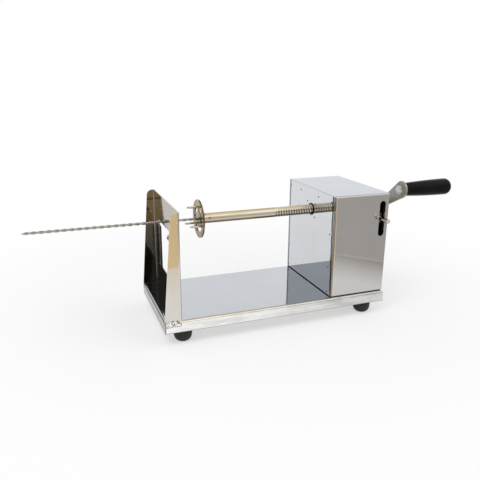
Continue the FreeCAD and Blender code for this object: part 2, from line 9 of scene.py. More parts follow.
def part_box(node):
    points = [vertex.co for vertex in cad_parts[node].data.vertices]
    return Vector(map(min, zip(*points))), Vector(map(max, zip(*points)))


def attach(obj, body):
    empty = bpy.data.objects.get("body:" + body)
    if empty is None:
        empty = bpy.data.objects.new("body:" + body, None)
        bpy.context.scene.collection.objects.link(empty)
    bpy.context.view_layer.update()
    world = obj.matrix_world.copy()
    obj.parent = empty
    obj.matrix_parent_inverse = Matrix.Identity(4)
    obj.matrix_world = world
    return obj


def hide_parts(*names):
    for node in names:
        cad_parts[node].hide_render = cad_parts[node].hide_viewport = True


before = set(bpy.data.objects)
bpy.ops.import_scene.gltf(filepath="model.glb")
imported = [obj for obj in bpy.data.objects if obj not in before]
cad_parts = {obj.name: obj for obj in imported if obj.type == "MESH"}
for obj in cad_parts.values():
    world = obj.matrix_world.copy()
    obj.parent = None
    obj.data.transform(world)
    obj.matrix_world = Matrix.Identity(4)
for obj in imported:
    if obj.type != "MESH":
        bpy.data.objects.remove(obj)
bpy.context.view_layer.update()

# Looks of the hand-cranked tornado potato cutter. Lengths are in millimetres, counted from the
# point on the table under the middle of the base, and at() turns a place into the scene's metres.
# Scales of noise and depths of bumps are the nodes' own, in metres.

MM = 0.001


def under_middle(name):
    """The scene's point on the table under the middle of a CAD node."""
    low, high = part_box(name)
    return Vector(((low.x + high.x) / 2, (low.y + high.y) / 2, 0.0))


ORIGIN = under_middle("base_tray")


def at(x, y, z):
    """The scene's point for a place in millimetres."""
    return ORIGIN + Vector((x, y, z)) * MM


def scene_x(x):
    return at(x, 0, 0).x


def scene_y(y):
    return at(0, y, 0).y


def scene_z(z):
    return at(0, 0, z).z


def extent(name):
    """A CAD node's lowest and highest corners, in millimetres from under the base's middle."""
    low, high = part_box(name)
    return (low - ORIGIN) / MM, (high - ORIGIN) / MM


# ---- measures read from the solids ----------------------------------------------------------

TUBE_LOW, TUBE_HIGH = extent("lead_screw")
AXIS = (TUBE_LOW.z + TUBE_HIGH.z) / 2
CREST = (TUBE_HIGH.z - TUBE_LOW.z) / 2
NEEDLE_LOW, NEEDLE_HIGH = extent("needle")
NEEDLE_RADIUS = (NEEDLE_HIGH.z - NEEDLE_LOW.z) / 2
GRIP_LOW, GRIP_HIGH = extent("grip")
GRIP_Y = (GRIP_LOW.y + GRIP_HIGH.y) / 2
GRIP_Z = (GRIP_LOW.z + GRIP_HIGH.z) / 2
GRIP_RADIUS = (GRIP_HIGH.z - GRIP_LOW.z) / 2
FEET_LOW, FEET_HIGH = extent("feet")
STAND_LOW, STAND_HIGH = extent("blade_stand")
COVER_LOW, COVER_HIGH = extent("housing_cover")
PAN_LOW, PAN_HIGH = extent("front_pan")
SLEEVE_LOW, SLEEVE_HIGH = extent("shaft_sleeves")
TRAY_LOW, TRAY_HIGH = extent("base_tray")
DECK = TRAY_HIGH.z
MIRROR = COVER_LOW.x + COVER_HIGH.x      # MIRROR - x is at the rear pan what x is at the front

# ---- measures of what the solids leave out --------------------------------------------------

# Round measures, such as a bore, a neck, a root or a flat, are radii.

THREAD_START = 16.0       # where the thread begins on the tube
THREAD_END = 186.0
THREAD_EASE = 0.4         # from the last plain ring to the thread
THREAD_ROOT = 6.45        # at the bottom of a groove
THREAD_CREST = 0.45       # share of the pitch that is crest
THREAD_FLANK = 3.2        # how steeply a groove falls
PITCH = 4.0
TUBE_WALL = 2.0
TUBE_OPEN = 12.0          # how deep the tube's open end goes
NEEDLE_LEAD = 18.0        # length of one full twist
NEEDLE_FLAT = 0.62        # the bar's thin side as a share of its wide side
NEEDLE_CORNER = 0.7       # 1 makes the bar oval, less makes it squarer
NEEDLE_TIP = 0.12         # the tip's thickness as a share of the bar's
NEEDLE_POINT = 8.0        # over this length the needle would taper from nothing
NEEDLE_STEP = 0.75
SLEEVE_GAP = 0.3          # from the ring that shows to its plate
SLEEVE_RING = 0.7
SLEEVE_RING_RADIUS = 8.8
SLEEVE_EDGE = 0.15        # bevel of that ring
SLEEVE_BORE = 7.05
SLEEVE_RADIUS = 8.3
SLEEVE_REACH = 4.5        # from the plate's face to the flared inner end
SLEEVE_FLARE = 1.2        # width of that end
GRIP_NECK = 9.0
GRIP_EDGE = 0.6           # bevel of the neck
GRIP_SWELL = 0.5          # how far the moulded end is fuller than the plain solid
GRIP_CURVE = 0.78         # less than 1 makes the swell begin sooner
GRIP_CROWN = 7.5          # length of the rounded end
GRIP_RIM = 0.4            # width of the rim round the recess
GRIP_BORE = 4.05
GRIP_BORE_START = 8.0     # how far the bore shows at the neck
GRIP_BORE_END = 2.0       # and under the recess
GRIP_RECESS = 7.2
GRIP_RECESS_DEPTH = 7.0
GRIP_RECESS_EDGE = 0.5
FOOT_RADIUS = 12.2
FOOT_FLAT = 5.0
FOOT_BOWL = 9.0           # height of the bowl
FOOT_LIP = 0.3            # how far the rim stands out past the bowl
FOOT_RIM_LOW = 1.5        # from the bowl to the rim's full width
FOOT_RIM_HIGH = 2.0       # from there to the flange
FOOT_NECK = 0.5           # how far the foot steps in under the flange
FOOT_NECK_HEIGHT = 1.4
STAND_SHEET = 1.5
COVER_SHEET = 1.2
COVER_FLANGE = 2.0        # how much of the cover's edge is kept free of painted shade
COVER_LINTEL = 3.0        # height of its unlit edge over the opening
SPOT_RADIUS = 1.3         # of a spot weld's dimple
SPOT_HEIGHT = 0.12        # of its rim
SPOT_SUNK = 0.05          # how far a dimple's foot is in the plate
SPOT_RIM = 0.7            # inner edge of a dimple's rim, as a share of its radius
SPOT_DISH = 0.4           # the same of the dish's floor, and its height as a share of the rim's
SPOT_TOP = 10.2           # from the cover's top down to the top row of spots
SPOT_NEAR = 12.4          # from its near side to the near column
SPOT_FAR = 4.0            # from its far side to the far column
SPOT_TOP_ROW = (33.5, -20.4)          # places across, between the columns
SPOT_NEAR_COLUMN = (5.2, 41.3, 88.7)  # heights over the deck
SPOT_FAR_COLUMN = (5.2, 38.4, 88.7)
SPOT_GUIDE_Y = 11.5       # from the shaft's axis to the four spots round its guide
SPOT_GUIDE_Z = 9.8
SCREW_RADIUS = 1.5
SCREW_SOCKET = 0.8
SCREW_SUNK = 0.3          # from the tube's crest down to the screw's foot
SCREW_PROUD = 0.02
SCREW_HOLLOW = 0.25       # and down to its socket's floor
SCREW_PLACES = ((-86.0, 62.0), (-80.0, 14.0))      # along the tube, and degrees up its near side
RIVET_X = -141.5          # place of the rivets on both flanges of the stand
RIVET_Z = 159.6
RIVET_DOME = ((1.5, -0.1), (1.5, 0.1), (1.3, 0.4), (0.8, 0.6), (0.3, 0.66))   # radius, rise
SEAM_START = 0.6          # from the flange's edge to the weld bead's end
SEAM_ENDS = 1.6           # what both ends leave free
SEAM_DROP = 7.0           # from the deck down to the bead's lower edge
SEAM_HEIGHT = 9.0
SEAM_LOW = 0.2            # how far the bead stands out at least
SEAM_LUMP = 0.3           # and how much more at most
SEAM_SHAKE = 0.5          # how unevenly the points lie in height
SEAM_SUNK = 0.3           # how far the bead's back is in the sheet
SEAM_BACK = (1.6, -6.4)   # the back's upper and lower edge, from the deck

AROUND = 48               # points in a ring round the shaft
SAME_POINT = 1e-7         # metres; points closer than this become one


# ---- building helpers -----------------------------------------------------------------------

def link_object(name, data):
    made = bpy.data.objects.new(name, data)
    bpy.context.scene.collection.objects.link(made)
    return made


def skin(shell, rings, closed):
    """A skin over rings of points, each ring with the same number of points."""
    rows = [[shell.verts.new(point) for point in ring] for ring in rings]
    count = len(rows[0])
    for low, high in zip(rows, rows[1:]):
        for i in range(count):
            j = (i + 1) % count
            shell.faces.new((low[i], low[j], high[j], high[i]))
    if closed:
        shell.faces.new(list(reversed(rows[0])))
        shell.faces.new(rows[-1])


def mesh_from(name, skins, closed):
    """A mesh of skins. One that isn't closed by faces at its ends may close on itself."""
    mesh = bpy.data.meshes.new(name)
    shell = bmesh.new()
    for rings in skins:
        skin(shell, rings, closed)
    bmesh.ops.remove_doubles(shell, verts=shell.verts, dist=SAME_POINT)
    bmesh.ops.recalc_face_normals(shell, faces=shell.faces)
    shell.to_mesh(mesh)
    shell.free()
    return mesh


def piece(name, skins, body, material, replaces=(), closed=True):
    """Adds skins to the scene as one piece of the object, which rides on a body."""
    mesh = mesh_from(name, skins, closed)
    for polygon in mesh.polygons:
        polygon.use_smooth = True
    mesh.materials.append(material)
    made = link_object(name, mesh)
    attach(made, body)
    if replaces:
        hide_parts(*replaces)
    return made


def circle(radius, count):
    """Both coordinates of each point on a circle."""
    return [(radius * math.cos(2 * math.pi * i / count),
             radius * math.sin(2 * math.pi * i / count)) for i in range(count)]


def ring_x(x, radius, y=0.0, z=None, count=AROUND):
    """A ring of points round a line along X, which is the shaft's axis if not said otherwise."""
    z = AXIS if z is None else z
    return [at(x, y + c, z + s) for c, s in circle(radius, count)]


def ring_y(y, radius, x, z, count=18):
    """A ring of points round a line along Y."""
    return [at(x + c, y, z + s) for c, s in circle(radius, count)]


def ring_z(z, radius, x, y, count=40):
    """A ring of points round an upright line."""
    return [at(x + c, y + s, z) for c, s in circle(radius, count)]


def sharp(made, angle=35.0):
    """Keeps edges sharper than the angle crisp on a smooth-shaded piece."""
    made.data.set_sharp_from_angle(angle=math.radians(angle))


# ---- node helpers ---------------------------------------------------------------------------

# Places of a colour mix's sockets, which share their names with those of its other types.
MIX_FACTOR, MIX_FIRST, MIX_SECOND, MIX_RESULT = 0, 6, 7, 2


def node(tree, kind, inputs=None, **settings):
    made = tree.nodes.new(kind)
    for name, value in settings.items():
        setattr(made, name, value)
    for name, value in (inputs or {}).items():
        fill(tree, made.inputs[name], value)
    return made


def fill(tree, socket, value):
    """Links another node's socket to this one, or sets it to a plain value."""
    if isinstance(value, bpy.types.NodeSocket):
        tree.links.new(value, socket)
    else:
        socket.default_value = value


def blank(name):
    material = bpy.data.materials.new(name)
    material.use_nodes = True
    material.node_tree.nodes.clear()
    return material, material.node_tree


def finish_material(tree, shader):
    node(tree, "ShaderNodeOutputMaterial", {"Surface": shader})


def calc(tree, operation, first, second=0.0):
    return node(tree, "ShaderNodeMath", {0: first, 1: second}, operation=operation).outputs[0]


def product(tree, first, second):
    return calc(tree, "MULTIPLY", first, second)


def below(tree, value, limit):
    """1 where a value is less than the limit, else 0."""
    return calc(tree, "LESS_THAN", value, limit)


def above(tree, value, limit):
    """1 where a value is greater than the limit, else 0."""
    return calc(tree, "GREATER_THAN", value, limit)


def ranged(tree, value, low, high, start=0.0, end=1.0):
    """A value between start and end, carried over to between low and high."""
    return node(tree, "ShaderNodeMapRange", {
        "Value": value, "From Min": start, "From Max": end,
        "To Min": low, "To Max": high}).outputs[0]


def rising(tree, value, start, end):
    """0 up to start, 1 from end on."""
    return ranged(tree, value, 0.0, 1.0, start, end)


def falling(tree, value, start, end):
    """1 up to start, 0 from end on."""
    return ranged(tree, value, 1.0, 0.0, start, end)


def noise(tree, coords, scale, detail=2.0, stretch=(1, 1, 1), rough=0.5):
    mapped = node(tree, "ShaderNodeMapping", {"Vector": coords, "Scale": stretch})
    return node(tree, "ShaderNodeTexNoise", {
        "Vector": mapped.outputs[0], "Scale": scale, "Detail": detail,
        "Roughness": rough}).outputs["Fac"]


def blended(tree, factor, first, second):
    """The first colour where the factor is 0, the second where it is 1."""
    mixed = node(tree, "ShaderNodeMix", {MIX_FACTOR: factor}, data_type="RGBA")
    for place, value in ((MIX_FIRST, first), (MIX_SECOND, second)):
        if not isinstance(value, bpy.types.NodeSocket):
            value = (*value, 1.0)
        fill(tree, mixed.inputs[place], value)
    return mixed.outputs[MIX_RESULT]


def scaled(values, factor):
    return [factor * value for value in values]


def bumped(tree, height, distance, normal=None):
    made = node(tree, "ShaderNodeBump", {"Height": height, "Distance": distance, "Strength": 1.0})
    if normal:
        fill(tree, made.inputs["Normal"], normal)
    return made.outputs[0]


def vector_calc(tree, operation, first, second):
    return node(tree, "ShaderNodeVectorMath", {0: first, 1: second},
                operation=operation).outputs[0]


def length_of(tree, vector):
    return node(tree, "ShaderNodeVectorMath", {0: vector}, operation="LENGTH").outputs["Value"]


def object_coords(tree):
    return node(tree, "ShaderNodeTexCoord").outputs["Object"]


def axes_of(tree, coords):
    split = node(tree, "ShaderNodeSeparateXYZ", {"Vector": coords})
    return split.outputs["X"], split.outputs["Y"], split.outputs["Z"]


def inside(tree, coords, low, high):
    """1 where a point is within the box between two corners in millimetres, else 0."""
    result = None
    for value, start, end in zip(axes_of(tree, coords), at(*low), at(*high)):
        for test in (above(tree, value, start), below(tree, value, end)):
            result = test if result is None else product(tree, result, test)
    return result


def finish_metal(tree, tint, gloss, normal):
    shader = node(tree, "ShaderNodeBsdfPrincipled", {
        "Base Color": tint, "Metallic": 1.0, "Roughness": gloss, "Normal": normal})
    finish_material(tree, shader.outputs[0])


def glowing(tree, colour):
    return node(tree, "ShaderNodeEmission", {"Color": colour, "Strength": 1.0}).outputs[0]


def mixed_shader(tree, factor, first, second):
    return node(tree, "ShaderNodeMixShader", {0: factor, 1: first, 2: second}).outputs[0]


# ---- marks ----------------------------------------------------------------------------------

# Marks change a sheet's colour, gloss and bump in one place. Each takes and gives these three.

MARGIN = 0.08             # how far a mark reaches past the face that it is on
FAR_OUT = 400.0           # past everything
HOLLOW_FADE = (45.0, 120.0)           # over the deck, where the stand's inner faces get brighter
RIM_TOP = 0.9             # from the deck down to where the tray's rim begins
RIM_DARKENING = (-20.0, 100.0)             # along the tray, where the rim's painted sheen gets darker
RIM_BEND = 1.1            # from the tray's left end to the end of its bend's painted shade
RIM_END = 0.2             # and to the end of the left face itself
RIM_HEM = 0.7             # height of the lower edge's grey painted shade
PAN_BEND = (3.5, 9.0)     # width of the pan's bend at its foot and at its top
PAN_WAVE = 1.8            # how far the fold line strays from that
PAN_FOLD = 2.6            # width of the fold line
COVER_BEND = (3.2, 1.6)   # width of the cover's turn-in at its foot and at its top
COVER_GLINT = 0.6           # half the width of the painted highlight line
COVER_GLINT_ROUGH = 0.3     # how much rougher that line is
COVER_NEAR = COVER_LOW.y + COVER_SHEET - MARGIN       # the inner sides of the cover's sheet
COVER_FAR = COVER_HIGH.y - COVER_SHEET + MARGIN
COVER_TOP = COVER_HIGH.z - COVER_SHEET + MARGIN
GROOVE_GOLD = (0.22, 0.42)            # shares of the radius over the axis, where gold comes in
UNDER_SIDE = (-0.50, -0.05)           # upward parts of the normal, where the under side ends


def streaky(tree, coords, colour, lift):
    """A dull colour with streaks that are lighter by a factor."""
    streaks = noise(tree, coords, scale=60.0, detail=3.0, stretch=(1, 0.3, 1))
    return blended(tree, streaks, colour, scaled(colour, lift))


def painted_shade_box(low, high):
    """Painted shade: near-black, streaky colour on faces in a box, where inner faces lie unlit."""
    def mark(tree, coords, tint, gloss, normal):
        here = inside(tree, coords, low, high)
        dark = streaky(tree, coords, colour=(0.03, 0.028, 0.025), lift=1.6)
        return blended(tree, here, tint, dark), gloss, normal
    return mark


def painted_shade_hollow(low, high):
    """Painted shade and painted dark reflection on the stand's inner faces, darker to the foot."""
    def mark(tree, coords, tint, gloss, normal):
        here = inside(tree, coords, low, high)
        foot = streaky(tree, coords, colour=(0.10, 0.09, 0.075), lift=1.6)
        top = streaky(tree, coords, colour=(0.26, 0.235, 0.20), lift=1.3)
        height = rising(tree, axes_of(tree, coords)[2],
                        *(scene_z(DECK + z) for z in HOLLOW_FADE))
        return blended(tree, here, tint, blended(tree, height, foot, top)), gloss, normal
    return mark


def rim_streaks_and_painted_sheen(low, high):
    """The tray's rim: soft streaks along its length in colour, gloss and bump, under a painted
    sheen far lighter than the tray's sheet, darker to the right. Painted shade makes its bend on
    the left dark, its left end dim and its lower edge grey."""
    bend_x = scene_x(TRAY_LOW.x + RIM_BEND)
    end_x = scene_x(TRAY_LOW.x + RIM_END)
    hem_z = scene_z(FEET_HIGH.z + RIM_HEM)

    def mark(tree, coords, tint, gloss, normal):
        here = inside(tree, coords, low, high)
        x, _, z = axes_of(tree, coords)
        streaks = noise(tree, coords, scale=150.0, detail=4.0, stretch=(0.12, 1, 1), rough=0.6)
        cloud = noise(tree, coords, scale=34.0)
        streaked = rising(tree, streaks, 0.38, 0.66)
        clouded = ranged(tree, cloud, 0.0, 0.6, 0.45, 0.7)
        # Painted sheen: the rim is far lighter than the tray's sheet, and gets darker towards the
        # right.
        worn = rising(tree, x, *(scene_x(place) for place in RIM_DARKENING))
        light = blended(tree, worn, (0.95, 0.945, 0.93), (0.70, 0.69, 0.67))
        deep = blended(tree, worn, (0.72, 0.705, 0.68), (0.48, 0.465, 0.445))
        bright = blended(tree, worn, (0.97, 0.97, 0.96), (0.76, 0.76, 0.75))
        dim = blended(tree, streaked, (0.37, 0.37, 0.365), (0.25, 0.245, 0.235))
        pale = blended(tree, streaked, light, deep)
        pale = blended(tree, clouded, pale, bright)
        # Painted shade: the bend on the left, the left end and the lower edge.
        pale = blended(tree, below(tree, x, bend_x), pale, (0.10, 0.095, 0.09))
        pale = blended(tree, below(tree, x, end_x), pale, dim)
        pale = blended(tree, below(tree, z, hem_z), pale, (0.34, 0.33, 0.31))
        rougher = product(tree, here, ranged(tree, streaks, 0.06, 0.16))
        rubbed = bumped(tree, product(tree, here, streaks), 0.00003, normal)
        return blended(tree, here, tint, pale), calc(tree, "ADD", gloss, rougher), rubbed
    return mark


def pan_bend_painted_shade(tree, coords, tint, gloss, normal):
    """Painted shade on the pan's bend along the near edge: a grey band behind a dark, wavy
    fold line.
    """
    _, y, z = axes_of(tree, coords)
    wave = noise(tree, coords, scale=42.0, stretch=(0, 0, 1))
    width = ranged(tree, z, *scaled(PAN_BEND, MM), scene_z(DECK), scene_z(PAN_HIGH.z))
    stray = ranged(tree, wave, -PAN_WAVE * MM, PAN_WAVE * MM, 0.3, 0.7)
    reach = calc(tree, "ADD", width, stray)
    depth = calc(tree, "SUBTRACT", y, scene_y(PAN_LOW.y))
    band = below(tree, depth, reach)
    fold = above(tree, depth, calc(tree, "SUBTRACT", reach, PAN_FOLD * MM))
    fold = product(tree, band, fold)
    tint = blended(tree, band, tint, (0.30, 0.285, 0.25))
    return blended(tree, fold, tint, (0.025, 0.022, 0.02)), gloss, normal


def cover_painted_light(tree, coords, tint, gloss, normal):
    """Painted light on the cover's near face: a warmer tint as a painted reflection, and near its
    cut edge painted shade on a grey turn-in, then a line of golden painted highlight."""
    x, y, z = axes_of(tree, coords)
    near = below(tree, y, scene_y(COVER_NEAR))
    # Painted reflection: the near face is warmer than the rest of the cover.
    smudge = noise(tree, coords, scale=15.0, detail=3.0)
    warm = blended(tree, smudge, (0.53, 0.525, 0.515), (0.60, 0.59, 0.575))
    tint = blended(tree, near, tint, warm)
    width = ranged(tree, z, *scaled(COVER_BEND, MM), scene_z(DECK), scene_z(COVER_HIGH.z))
    line = calc(tree, "ADD", scene_x(COVER_LOW.x), width)
    turned = product(tree, near, below(tree, x, line))
    # Painted highlight: a golden line along the near edge.
    off_line = calc(tree, "ABSOLUTE", calc(tree, "SUBTRACT", x, line))
    glint_line = product(tree, near, below(tree, off_line, COVER_GLINT * MM))
    tint = blended(tree, turned, tint, (0.33, 0.31, 0.27))
    rough = calc(tree, "ADD", gloss, product(tree, glint_line, COVER_GLINT_ROUGH))
    return blended(tree, glint_line, tint, (0.88, 0.73, 0.48)), rough, normal


# ---- materials ------------------------------------------------------------------------------

def sheet_steel(name, colour, dull, roughness, grain=(1, 1, 1), wave=0.000015,
                scratch=0.000003, marks=()):
    """Polished sheet: faint rolling lines, smudges that change gloss, a slight waviness."""
    material, tree = blank(name)
    coords = object_coords(tree)
    smudge = noise(tree, coords, scale=26.0, detail=4.0)
    lines = noise(tree, coords, scale=900.0, detail=3.0, stretch=grain)
    swell = noise(tree, coords, scale=14.0, detail=1.0)
    tint = blended(tree, rising(tree, smudge, 0.35, 0.7), colour, dull)
    gloss = calc(tree, "ADD", ranged(tree, smudge, *roughness, 0.3, 0.75),
                 ranged(tree, lines, -0.01, 0.02))
    normal = bumped(tree, lines, scratch, bumped(tree, swell, wave))
    for mark in marks:
        tint, gloss, normal = mark(tree, coords, tint, gloss, normal)
    finish_metal(tree, tint, gloss, normal)
    return material


def painted_shade_and_gold(tree, coords, tint, shade_colour):
    """A tint with painted shade on the under side and in the lower half of the thread's grooves,
    and a painted gold reflection in their upper half."""
    facing = node(tree, "ShaderNodeTexCoord").outputs["Normal"]
    under = falling(tree, axes_of(tree, facing)[2], *UNDER_SIDE)
    tint = blended(tree, under, tint, shade_colour)
    across = vector_calc(tree, "SUBTRACT", coords, at(0, 0, AXIS))
    across = vector_calc(tree, "MULTIPLY", across, (0, 1, 1))
    radius = length_of(tree, across)
    height = calc(tree, "DIVIDE", axes_of(tree, across)[2], radius)
    groove = falling(tree, radius, THREAD_ROOT * MM, CREST * MM)
    gold = rising(tree, height, *GROOVE_GOLD)
    deep = blended(tree, gold, scaled(shade_colour, 0.6), (0.80, 0.68, 0.46))
    return blended(tree, groove, tint, deep)


def turned_steel(name, colour, dull, roughness, tarnish=(0.5, 0.78), shade_colour=None):
    """Bar turned or drawn along X: fine rings and streaks of gold-brown tarnish, which come in
    over a range of their noise."""
    material, tree = blank(name)
    coords = object_coords(tree)
    rings = noise(tree, coords, scale=700.0, stretch=(6.0, 0.4, 0.4))
    streaks = noise(tree, coords, scale=38.0, detail=4.0, stretch=(0.35, 1.4, 1.4), rough=0.6)
    tint = blended(tree, rising(tree, streaks, *tarnish), colour, dull)
    if shade_colour:
        tint = painted_shade_and_gold(tree, coords, tint, shade_colour)
    finish_metal(tree, tint, ranged(tree, rings, *roughness), bumped(tree, rings, 0.000004))
    return material


def soft_black(name, colour, worn, roughness, grain, depth, specular):
    """Moulded rubber or plastic: fine grain, with a slightly lighter bloom."""
    material, tree = blank(name)
    coords = object_coords(tree)
    bloom = noise(tree, coords, scale=60.0, detail=3.0)
    shader = node(tree, "ShaderNodeBsdfPrincipled", {
        "Base Color": blended(tree, rising(tree, bloom, 0.4, 0.75), colour, worn),
        "Roughness": ranged(tree, bloom, *roughness, 0.3, 0.7),
        "Normal": bumped(tree, noise(tree, coords, scale=grain, detail=3.0), depth)})
    shader.inputs["Specular IOR Level"].default_value = specular
    finish_material(tree, shader.outputs[0])
    return material


def weld_metal(name):
    """Ground weld: bright and dark patches with a rough, pitted face."""
    material, tree = blank(name)
    pits = noise(tree, object_coords(tree), scale=300.0, detail=3.0, rough=0.7)
    tint = blended(tree, rising(tree, pits, 0.40, 0.54), (0.08, 0.07, 0.055), (0.97, 0.97, 0.95))
    finish_metal(tree, tint, ranged(tree, pits, 0.25, 0.5), bumped(tree, pits, 0.0003))
    return material


# Boxes that marks keep to, each from its lowest corner to its highest.
LOWEST = (-FAR_OUT, -FAR_OUT, -FAR_OUT)
RIM_BOX = (LOWEST, (FAR_OUT, FAR_OUT, DECK - RIM_TOP))
COVER_ROOM = ((COVER_LOW.x + COVER_FLANGE, COVER_NEAR, -FAR_OUT),
              (FAR_OUT, COVER_FAR, COVER_TOP))
COVER_BROW = ((COVER_LOW.x - MARGIN, COVER_NEAR, COVER_HIGH.z - COVER_LINTEL),
              (FAR_OUT, COVER_HIGH.y - COVER_FLANGE, COVER_TOP))
COVER_FOOT = ((COVER_LOW.x - MARGIN, -FAR_OUT, -FAR_OUT),
              (FAR_OUT, FAR_OUT, DECK + COVER_SHEET + MARGIN))
STAND_ROOM = ((-FAR_OUT, STAND_LOW.y + STAND_SHEET - MARGIN, -FAR_OUT),
              (STAND_HIGH.x - STAND_SHEET + MARGIN, STAND_HIGH.y - STAND_SHEET + MARGIN, FAR_OUT))
OUTSIDE = (LOWEST, (PAN_LOW.x, FAR_OUT, FAR_OUT))

PAN_LOOK = {"colour": (0.65, 0.665, 0.69), "dull": (0.62, 0.635, 0.655),
            "roughness": (0.02, 0.06), "grain": (1, 6, 1)}

# The tray's rim gets a painted sheen and painted shade.
TRAY_STEEL = sheet_steel(
    "tray_sheet", colour=(0.56, 0.58, 0.62), dull=(0.54, 0.56, 0.595), roughness=(0.03, 0.07),
    grain=(1, 6, 1), marks=(rim_streaks_and_painted_sheen(*RIM_BOX),))
# Painted shade makes the cover's inner faces, its edge over the opening and its foot near-black;
# its near face gets painted light.
COVER_STEEL = sheet_steel(
    "cover_sheet", colour=(0.515, 0.545, 0.59), dull=(0.495, 0.52, 0.565),
    roughness=(0.02, 0.06), grain=(1, 1, 6),
    marks=(painted_shade_box(*COVER_ROOM), painted_shade_box(*COVER_BROW), painted_shade_box(*COVER_FOOT), cover_painted_light))
# The pan's near bend gets painted shade.
PAN_STEEL = sheet_steel("pan_sheet", **PAN_LOOK, marks=(pan_bend_painted_shade,))
REAR_STEEL = sheet_steel("rear_pan_sheet", **PAN_LOOK)
# Painted shade and painted dark reflection darken the stand's inner faces.
STAND_STEEL = sheet_steel(
    "stand_sheet", colour=(0.70, 0.67, 0.62), dull=(0.64, 0.60, 0.54), roughness=(0.03, 0.09),
    grain=(1, 1, 6), marks=(painted_shade_hollow(*STAND_ROOM),))
# Painted shade: a steel darkened for parts in shade, such as the clutch lever and the half nut
# inside the housing.
SHADED_SATIN = sheet_steel(
    "satin_plate_painted_shade", colour=(0.24, 0.24, 0.24), dull=(0.17, 0.165, 0.16), roughness=(0.26, 0.4),
    grain=(1, 8, 1), wave=0.00001, scratch=0.00003)
ARM = sheet_steel(
    "arm_plate", colour=(0.50, 0.495, 0.48), dull=(0.38, 0.35, 0.30), roughness=(0.24, 0.40),
    grain=(1, 8, 1), wave=0.00002, scratch=0.00004)
BLADE = sheet_steel(
    "ground_blade", colour=(0.70, 0.70, 0.71), dull=(0.58, 0.58, 0.58), roughness=(0.10, 0.20),
    grain=(1, 1, 10), wave=0.000004, scratch=0.000016)
# Painted shade makes the sleeve's ring outside the front pan near-black.
SLEEVE = sheet_steel(
    "sleeve_steel", colour=(0.50, 0.47, 0.42), dull=(0.38, 0.34, 0.28), roughness=(0.10, 0.2),
    marks=(painted_shade_box(*OUTSIDE),))
# Painted shade darkens the under side of the shaft, its hub and the lever pin; the thread's
# grooves get painted shade low down and a painted gold reflection high up.
SHAFT = turned_steel(
    "bright_shaft", colour=(0.72, 0.69, 0.63), dull=(0.53, 0.45, 0.32), roughness=(0.02, 0.07),
    shade_colour=(0.34, 0.28, 0.19))
PIN = turned_steel(
    "lever_chrome", colour=(0.93, 0.91, 0.87), dull=(0.70, 0.61, 0.46), roughness=(0.03, 0.09),
    shade_colour=(0.13, 0.10, 0.07))
NEEDLE = turned_steel(
    "needle_steel", colour=(0.42, 0.40, 0.38), dull=(0.26, 0.24, 0.22), roughness=(0.2, 0.35))
FORK = turned_steel(
    "fork_steel", colour=(0.32, 0.245, 0.125), dull=(0.10, 0.075, 0.036), roughness=(0.06, 0.16),
    tarnish=(0.36, 0.56))
PRONG = turned_steel(
    "prong_steel", colour=(0.66, 0.62, 0.54), dull=(0.45, 0.38, 0.28), roughness=(0.06, 0.15))
FASTENER = turned_steel(
    "fastener_steel", colour=(0.80, 0.79, 0.77), dull=(0.38, 0.31, 0.22), roughness=(0.08, 0.18),
    tarnish=(0.42, 0.65))
SPOT = turned_steel(
    "spot_weld", colour=(0.10, 0.09, 0.08), dull=(0.05, 0.045, 0.04), roughness=(0.3, 0.5))
WELD = weld_metal("ground_weld")
RUBBER = soft_black(
    "foot_rubber", colour=(0.014, 0.014, 0.015), worn=(0.024, 0.024, 0.024),
    roughness=(0.5, 0.7), grain=1800.0, depth=0.00003, specular=0.35)
PLASTIC = soft_black(
    "grip_plastic", colour=(0.0045, 0.004, 0.0045), worn=(0.007, 0.0065, 0.0065),
    roughness=(0.20, 0.30), grain=1400.0, depth=0.000008, specular=0.10)

FINISHES = {
    TRAY_STEEL: ("base_tray",),
    COVER_STEEL: ("housing_cover",),
    PAN_STEEL: ("front_pan",),
    REAR_STEEL: ("rear_pan",),
    STAND_STEEL: ("blade_stand",),
    WELD: ("stand_welds",),
    SHADED_SATIN: ("front_backing", "rear_backing", "clutch_lever", "half_nut", "blade_spacer"),
    ARM: ("crank_arm",),
    BLADE: ("blade",),
    SHAFT: ("lead_screw", "crank_hub"),
    PIN: ("lever_pin", "lever_tip"),
    SLEEVE: ("shaft_sleeves",),
    NEEDLE: ("needle",),
    FORK: ("fork_disc",),
    PRONG: ("fork_prongs",),
    FASTENER: ("blade_screws", "blade_nuts", "pivot_bolt", "pivot_nut", "grip_bolt", "grip_nut"),
    RUBBER: ("feet",),
    PLASTIC: ("grip",),
}
for material, names in FINISHES.items():
    for name in names:
        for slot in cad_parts[name].material_slots:
            slot.material = material


# ---- pieces ---------------------------------------------------------------------------------

